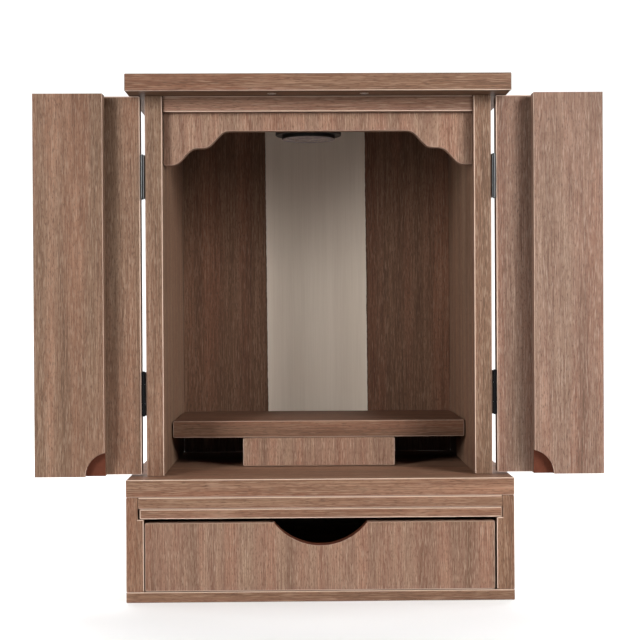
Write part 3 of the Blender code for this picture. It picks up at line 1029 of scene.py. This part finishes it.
@dataclass(frozen=True)
class ButtHinge:
    """One leaf of a black butt hinge, with two screws and, on the fixed leaf, the pin.

    Fields give its node, the knuckle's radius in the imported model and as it
    looks, the plate's nearest distance from the pin, the sizes and places of
    its screws and pin, how much its edges are eased and from which turn. A
    screw stands at a share of the way from the pin to the plate's far edge.
    """

    node: str
    packed_knuckle_mm: float = 1.7
    knuckle_mm: float = 2.1
    round_margin_mm: float = 0.1
    plate_from_mm: float = 4.0
    screw_radius_mm: float = 1.6
    screw_stand_mm: float = 0.2
    screw_top_share: float = 0.9
    screw_sides: int = 24
    screw_spread_mm: float = 23.0
    screw_place_share: float = 0.62
    slot_width_mm: float = 0.45
    slot_arm_share: float = 0.62
    slot_depth_share: float = 0.5
    pin_radius_mm: float = 1.1
    pin_stand_mm: float = 0.6
    pin_sides: int = 20
    ease_mm: float = 0.12
    sharp_deg: float = 50.0

    def build(self) -> bpy.types.Object:
        """Build the leaf with eased edges, full knuckles, screws and the pin.

        Returns:
            The hinge leaf, which stands for its node.
        """
        builder = EasedBoard(
            self.node, Grain.UPRIGHT, Grain.UPRIGHT, arris_mm=self.ease_mm, sharp_deg=self.sharp_deg
        ).shape()
        if "fold" not in self.node:
            self.swell_knuckles(builder)
        self.add_screws(builder)
        if "cabinet_plate" in self.node or "wide_plate" in self.node:
            self.add_pin(builder)
        piece = link_mesh(f"{self.node}_finished", builder)
        piece.data.shade_smooth()
        piece.data.set_sharp_from_angle(angle=SHARP_ANGLE)
        piece.data.materials.append(BLACK_ENAMEL.material())
        return attach(piece, self.node)

    def pin(self) -> Vector:
        """Give a point on the line that this hinge turns on.

        Returns:
            The place of the joint that the hinge belongs to.
        """
        side = self.node.split("_")[0]
        name = f"{side}_leaf_fold" if "fold" in self.node else f"{side}_door_hinge"
        return Vector(next(row for row in frame["joints"] if row["name"] == name)["pos_m"])

    def swell_knuckles(self, builder: bmesh.types.BMesh) -> None:
        """Push the round knuckles out until they nearly fill the gap beside the door.

        Args:
            builder: The hinge leaf's mesh.
        """
        pin = self.pin()
        for vertex in builder.verts:
            reach = Vector((vertex.co.x - pin.x, vertex.co.y - pin.y, 0.0))
            if reach.length < (self.packed_knuckle_mm + self.round_margin_mm) * MM:
                vertex.co += reach * (self.knuckle_mm / self.packed_knuckle_mm - 1.0)

    def add_screws(self, builder: bmesh.types.BMesh) -> None:
        """Add two cross-slotted screw heads on the open face of the plate.

        Args:
            builder: The hinge leaf's mesh.
        """
        low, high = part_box(self.node)
        pin = self.pin()
        flat = 1 if "fold" in self.node else 0
        along = 1 - flat
        places = [vertex.co for vertex in frame["nodes"][self.node].data.vertices]
        plate = [co[flat] for co in places if abs(co[along] - pin[along]) > self.plate_from_mm * MM]
        out = 1.0 if pin[flat] > (min(plate) + max(plate)) / 2 else -1.0
        far = high[along] if abs(high[along] - pin[along]) > abs(low[along] - pin[along]) else low[along]
        for side in (-0.5, 0.5):
            place = Vector((0.0, 0.0, (low.z + high.z) / 2 + side * self.screw_spread_mm * MM))
            place[flat] = max(plate) if out > 0 else min(plate)
            place[along] = pin[along] + (far - pin[along]) * self.screw_place_share
            self.add_screw(builder, place, flat, out)

    def add_screw(self, builder: bmesh.types.BMesh, place: Vector, axis: int, out: float) -> None:
        """Add one screw head with bevelled sides and a cross cut into it.

        Args:
            builder: The hinge leaf's mesh.
            place: The middle of the head's foot.
            axis: The axis that the head looks along.
            out: 1 or -1, the way it looks along that axis.
        """
        radius = self.screw_radius_mm * MM
        height = self.screw_stand_mm * MM
        slot = self.slot_width_mm * MM / 2
        arm = radius * self.slot_arm_share
        quarter = math.pi / 2 * out
        turn = Matrix.Rotation(quarter, 4, "Y") if axis == 0 else Matrix.Rotation(-quarter, 4, "X")
        to_world = Matrix.Translation(place) @ turn
        angles = [math.tau * number / self.screw_sides for number in range(self.screw_sides)]
        rim = [(radius * math.cos(angle), radius * math.sin(angle)) for angle in angles]
        cross = [
            (slot, slot), (slot, arm), (-slot, arm), (-slot, slot), (-arm, slot), (-arm, -slot),
            (-slot, -slot), (-slot, -arm), (slot, -arm), (slot, -slot), (arm, -slot), (arm, slot),
        ]
        base, top, mouth, floor = (
            [builder.verts.new(to_world @ Vector((x * share, y * share, z))) for x, y in outline]
            for outline, share, z in (
                (rim, 1.0, -height),
                (rim, self.screw_top_share, height),
                (cross, 1.0, height),
                (cross, 1.0, -height * self.slot_depth_share),
            )
        )
        new_faces = join_rings(builder, base, top) + join_rings(builder, mouth, floor)
        new_faces.append(builder.faces.new(floor))
        new_faces.append(builder.faces.new(list(reversed(base))))
        edges = [
            builder.edges.get((ring[number], ring[(number + 1) % len(ring)]))
            for ring in (top, mouth)
            for number in range(len(ring))
        ]
        filled = bmesh.ops.triangle_fill(builder, use_beauty=True, edges=edges)
        new_faces += [item for item in filled["geom"] if isinstance(item, bmesh.types.BMFace)]
        bmesh.ops.recalc_face_normals(builder, faces=new_faces)

    def add_pin(self, builder: bmesh.types.BMesh) -> None:
        """Add the hinge pin, whose ends stand a little out of the knuckles.

        Args:
            builder: The hinge leaf's mesh.
        """
        low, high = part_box(self.node)
        made = bmesh.ops.create_cone(
            builder,
            cap_ends=True,
            segments=self.pin_sides,
            radius1=self.pin_radius_mm * MM,
            radius2=self.pin_radius_mm * MM,
            depth=high.z - low.z + 2 * self.pin_stand_mm * MM,
        )
        pin = self.pin()
        bmesh.ops.translate(builder, vec=(pin.x, pin.y, (low.z + high.z) / 2), verts=made["verts"])


@dataclass(frozen=True)
class Door:
    """One folding door with its two leaves and its hinges.

    Fields give its side, its sheet of the print, the height up to which the
    finger pocket reaches, how far behind the front and before the back its
    stain stays, and how near to a side a face counts as lying on it.
    """

    side: str
    tone: Tone
    seed: int
    pocket_mm: float = 21.5
    pocket_front_mm: float = 0.8
    pocket_back_mm: float = 4.0
    near_mm: float = 0.2

    def build(self) -> None:
        """Build both leaves and every hinge leaf of the door."""
        free, hung = (Arris.RIGHT, Arris.LEFT) if self.side == "left" else (Arris.LEFT, Arris.RIGHT)
        # The bright arrises carry a painted highlight, the hung one where no light reaches it.
        EasedBoard(
            f"{self.side}_door_wide_leaf", Grain.UPRIGHT, Grain.ACROSS, tone=self.tone, seed=self.seed,
            bright=(free, hung, Arris.TOP),
            faint=(Arris.FOOT, Arris.BACK_RIGHT, Arris.BACK_LEFT),
        ).build()
        narrow = EasedBoard(
            f"{self.side}_door_narrow_leaf", Grain.UPRIGHT, Grain.ACROSS, tone=self.tone, seed=self.seed + 2,
            bright=(free,),
            faint=(Arris.TOP, Arris.BACK_RIGHT, Arris.BACK_LEFT),
            rubbed=(hung, Arris.FOOT),
        ).build()
        self.stain_pocket(narrow)
        for level in ("upper", "lower"):
            for label in (
                "hinge_cabinet_plate", "hinge_door_plate", "fold_hinge_wide_plate", "fold_hinge_narrow_plate"
            ):
                ButtHinge(f"{self.side}_{level}_{label}").build()

    def stain_pocket(self, leaf: bpy.types.Object) -> None:
        """Give the finger pocket its stained core colour.

        Args:
            leaf: The narrow leaf.
        """
        low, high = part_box(leaf.name.removesuffix("_finished"))
        slot = len(leaf.data.materials)
        leaf.data.materials.append(POCKET_CORE.material())
        near = self.near_mm * MM
        foremost = low.y + self.pocket_front_mm * MM
        rearmost = high.y - self.pocket_back_mm * MM
        for face in leaf.data.polygons:
            centre = face.center
            if centre.z > low.z + self.pocket_mm * MM or not foremost <= centre.y <= rearmost:
                continue
            at_side = centre.x > high.x - near if self.side == "left" else centre.x < low.x + near
            on_side = abs(face.normal.x) > SQUARE and at_side
            if not on_side and centre.z > low.z + near:
                face.material_index = slot


@dataclass(frozen=True)
class Case:
    """The low case, its pull-out board and its drawer.

    Besides the boards, fields give how far the finger cut's stain stays from
    the drawer front's sides and foot and from its top, and from which lean a
    face of it counts as the flat front or back.
    """

    cut_side_mm: float = 5.0
    cut_top_mm: float = 1.0
    flat_from: float = 0.98
    boards: tuple[EasedBoard, ...] = (
        EasedBoard(
            "case_bottom_board", Grain.ACROSS, Grain.DEEP, tone=Tone.PLANK, seed=20,
            bright=(Arris.TOP,), rubbed=(Arris.FOOT,), arris_mm=0.5,
        ),
        EasedBoard(
            "case_left_side", Grain.UPRIGHT, Grain.DEEP, tone=Tone.PLANK, seed=21,
            bright=(Arris.RIGHT, Arris.TOP), faint=(Arris.LEFT,),
        ),
        EasedBoard(
            "case_right_side", Grain.UPRIGHT, Grain.DEEP, tone=Tone.PLANK, seed=22,
            bright=(Arris.LEFT, Arris.TOP), faint=(Arris.RIGHT,),
        ),
        # The wide bright top arris paints light into the shade under the floor board's overhang.
        EasedBoard(
            "case_top_board", Grain.ACROSS, Grain.DEEP, tone=Tone.PLANK, seed=23,
            bright=(Arris.TOP,), faint=(Arris.FOOT,), bright_mm=0.95,
        ),
        EasedBoard("case_back_board", Grain.ACROSS, Grain.UPRIGHT, tone=Tone.DARK, seed=24, arris_mm=0.3),
        EasedBoard(
            "pull_out_board", Grain.ACROSS, Grain.DEEP, tone=Tone.PLANK, seed=25,
            bright=(Arris.TOP, Arris.LEFT, Arris.FOOT), faint=(Arris.RIGHT,),
            bright_mm=0.85, arris_mm=0.4,
        ),
        EasedBoard(
            "drawer_front", Grain.UPRIGHT, Grain.ACROSS, tone=Tone.LIGHT, seed=26,
            bright=(Arris.FOOT,), faint=(Arris.LEFT, Arris.RIGHT, Arris.TOP), arris_mm=0.4,
        ),
        EasedBoard("drawer_left_side", Grain.DEEP, Grain.DEEP, seed=27, arris_mm=0.4),
        EasedBoard("drawer_right_side", Grain.DEEP, Grain.DEEP, seed=28, arris_mm=0.4),
        EasedBoard("drawer_back", Grain.ACROSS, Grain.DEEP, seed=29, arris_mm=0.4),
        EasedBoard("drawer_bottom", Grain.ACROSS, Grain.DEEP, seed=30, arris_mm=0.2),
    )

    def build(self) -> None:
        """Build every board of the case and the drawer."""
        for board in self.boards:
            piece = board.build()
            if board.node == "drawer_front":
                self.stain_finger_cut(piece)
            elif board.node in ("case_left_side", "case_right_side"):
                self.close_upper_fold(piece)

    def stain_finger_cut(self, front: bpy.types.Object) -> None:
        """Give the curved finger cut in the drawer's front its stained core colour.

        Args:
            front: The drawer's front.
        """
        low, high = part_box("drawer_front")
        slot = len(front.data.materials)
        front.data.materials.append(POCKET_CORE.material())
        side = self.cut_side_mm * MM
        top = high.z - self.cut_top_mm * MM
        for face in front.data.polygons:
            inside = low.x + side < face.center.x < high.x - side and low.z + side < face.center.z < top
            if inside and abs(face.normal.y) < self.flat_from:
                face.material_index = slot

    def close_upper_fold(self, side: bpy.types.Object) -> None:
        """Show neither the pale foil edge nor its painted highlight beside the case's top board and the pull-out
        board.

        Args:
            side: One of the case's sides.
        """
        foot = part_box("pull_out_board")[0].z
        for face in side.data.polygons:
            upright = face.center.z > foot and abs(face.normal.z) < LEANING
            if upright and face.material_index == Skin.BRIGHT:
                face.material_index = Skin.PRINT


@dataclass(frozen=True)
class Softbox:
    """One rectangular soft light: its place, the point it faces, its size, power and spread."""

    name: str
    place: tuple[float, float, float]
    aim: tuple[float, float, float]
    size: tuple[float, float]
    watts: float
    spread_deg: float = 180.0

    def build(self) -> None:
        """Add the light; it is never seen itself."""
        light = bpy.data.lights.new(self.name, "AREA")
        light.shape = "RECTANGLE"
        light.size, light.size_y = self.size
        light.energy = self.watts
        light.spread = math.radians(self.spread_deg)
        lamp = bpy.data.objects.new(self.name, light)
        lamp.location = self.place
        lamp.rotation_euler = (Vector(self.aim) - Vector(self.place)).to_track_quat("-Z", "Y").to_euler()
        lamp.visible_camera = False
        bpy.context.scene.collection.objects.link(lamp)


@dataclass(frozen=True)
class StudioPaper:
    """Matt white background paper that turns light grey well in front of the cabinet."""

    white: str = "F0F0F0"
    grey: str = "A0A0A0"
    grey_from_m: float = -0.27
    grey_to_m: float = -0.40
    roughness: float = 0.85
    specular: float = 0.2

    def material(self) -> bpy.types.Material:
        """Build the paper's shader.

        Returns:
            The new material.
        """
        material, tree, shader = new_material("white_studio_paper")
        spot = add_node(tree, "ShaderNodeTexCoord").outputs["Object"]
        depth = add_node(tree, "ShaderNodeSeparateXYZ", {"Vector": spot}).outputs["Y"]
        share = add_node(
            tree,
            "ShaderNodeMapRange",
            {"Value": depth, "From Min": self.grey_to_m, "From Max": self.grey_from_m},
            interpolation_type="SMOOTHSTEP",
        ).outputs["Result"]
        colour = add_node(
            tree,
            "ShaderNodeMix",
            {"Factor": share, "A": linear_colour(self.grey), "B": linear_colour(self.white)},
            data_type="RGBA",
        ).outputs["Result"]
        tree.links.new(colour, shader.inputs["Base Color"])
        shader.inputs["Roughness"].default_value = self.roughness
        shader.inputs["Specular IOR Level"].default_value = self.specular
        return material


@dataclass(frozen=True)
class Studio:
    """The pale floor and backdrop, the soft lights and the camera.

    The camera's fields were fitted to the photograph, whose frame is image_px
    wide. The sweep's fields give where its floor starts in front, where it
    turns up into the wall, and how round, high and wide it is.
    """

    camera_place: tuple[float, float, float] = (-0.0143, -1.200, 0.2487)
    turn_right_rad: float = 0.0135
    look_down_rad: float = 0.0075
    roll_rad: float = 0.0056
    focal_px: float = 1278.2
    image_px: float = 640.0
    sensor_mm: float = 36.0
    sweep_front_m: float = -4.0
    sweep_turn_m: float = 1.4
    sweep_radius_m: float = 0.7
    sweep_steps: int = 16
    sweep_top_m: float = 3.2
    sweep_half_width_m: float = 4.5
    softboxes: tuple[Softbox, ...] = (
        Softbox("left_low", (-0.761, -0.891, 0.478), (-0.20, -0.09, 0.27), (0.30, 0.40), 2.45),
        Softbox("left_high", (-0.732, -0.850, 0.645), (-0.20, -0.09, 0.27), (0.30, 0.50), 1.25, 70.0),
        Softbox("right_high", (0.732, -0.850, 0.645), (0.20, -0.09, 0.27), (0.30, 0.50), 1.10, 70.0),
        Softbox("right_side", (0.659, -0.549, 0.532), (0.20, -0.09, 0.27), (0.25, 0.40), 0.75, 70.0),
        Softbox("right_near", (0.50, -0.50, 0.52), (0.12, -0.09, 0.41), (0.30, 0.20), 0.06),
        Softbox("front_low", (0.0, -1.40, 0.15), (0.0, -0.09, 0.30), (0.80, 0.20), 0.25),
        Softbox("floor_left", (-1.30, 0.0, 1.30), (0.0, -0.25, 0.0), (0.50, 0.50), 10.0),
        Softbox("floor_right", (1.30, 0.0, 1.30), (0.0, -0.25, 0.0), (0.50, 0.50), 10.0),
        Softbox("rear_overhead", (0.0, 1.0, 1.90), (0.0, 0.5, 0.0), (2.40, 0.80), 42.0),
        Softbox("backdrop", (0.0, 0.70, 2.40), (0.0, 2.10, 0.60), (3.20, 0.50), 35.0),
    )

    def build(self) -> None:
        """Set up the floor, lights and camera."""
        self.build_backdrop()
        self.build_lights()
        self.build_camera()

    def build_backdrop(self) -> None:
        """Build one sweep of floor and wall."""
        builder = bmesh.new()
        radius = self.sweep_radius_m
        outline = [(self.sweep_front_m, 0.0), (self.sweep_turn_m, 0.0)]
        for step in range(1, self.sweep_steps + 1):
            angle = math.pi / 2 * step / self.sweep_steps
            outline.append((self.sweep_turn_m + radius * math.sin(angle), radius * (1.0 - math.cos(angle))))
        outline.append((self.sweep_turn_m + radius, self.sweep_top_m))
        left = [builder.verts.new((-self.sweep_half_width_m, y, z)) for y, z in outline]
        right = [builder.verts.new((self.sweep_half_width_m, y, z)) for y, z in outline]
        for number in range(len(outline) - 1):
            builder.faces.new((left[number], right[number], right[number + 1], left[number + 1]))
        sweep = link_mesh("studio_sweep", builder)
        sweep.data.shade_smooth()
        sweep.data.materials.append(StudioPaper().material())

    def build_lights(self) -> None:
        """Switch on every softbox; there is no other light in the room."""
        for softbox in self.softboxes:
            softbox.build()
        world = bpy.data.worlds.new("dark_room")
        world.use_nodes = True
        world.node_tree.nodes["Background"].inputs["Strength"].default_value = 0.0
        bpy.context.scene.world = world
        bpy.context.scene.view_settings.view_transform = "Standard"

    def build_camera(self) -> None:
        """Place the camera at the photograph's viewing angle."""
        turn, tilt = self.turn_right_rad, -self.look_down_rad
        forward = Vector((math.sin(turn) * math.cos(tilt), math.cos(turn) * math.cos(tilt), math.sin(tilt)))
        level = Vector((math.cos(turn), -math.sin(turn), 0.0))
        upright = level.cross(forward)
        across = level * math.cos(self.roll_rad) - upright * math.sin(self.roll_rad)
        up = level * math.sin(self.roll_rad) + upright * math.cos(self.roll_rad)
        data = bpy.data.cameras.new("camera")
        data.sensor_width = self.sensor_mm
        data.lens = self.sensor_mm * self.focal_px / self.image_px
        camera = bpy.data.objects.new("camera", data)
        rotation = Matrix((across, up, -forward)).transposed().to_4x4()
        camera.matrix_world = Matrix.Translation(self.camera_place) @ rotation
        bpy.context.scene.collection.objects.link(camera)
        bpy.context.scene.camera = camera


def main() -> None:
    """Dress the whole cabinet and set the studio."""
    logging.basicConfig(level=logging.INFO, format="%(name)s: %(message)s")
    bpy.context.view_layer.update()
    Studio().build()
    Carcass().build()
    Lamp().build()
    Shelf().build()
    Door("left", Tone.FRONT, 12).build()
    Door("right", Tone.DOOR, 16).build()
    Case().build()


if __name__ == "__main__":
    main()
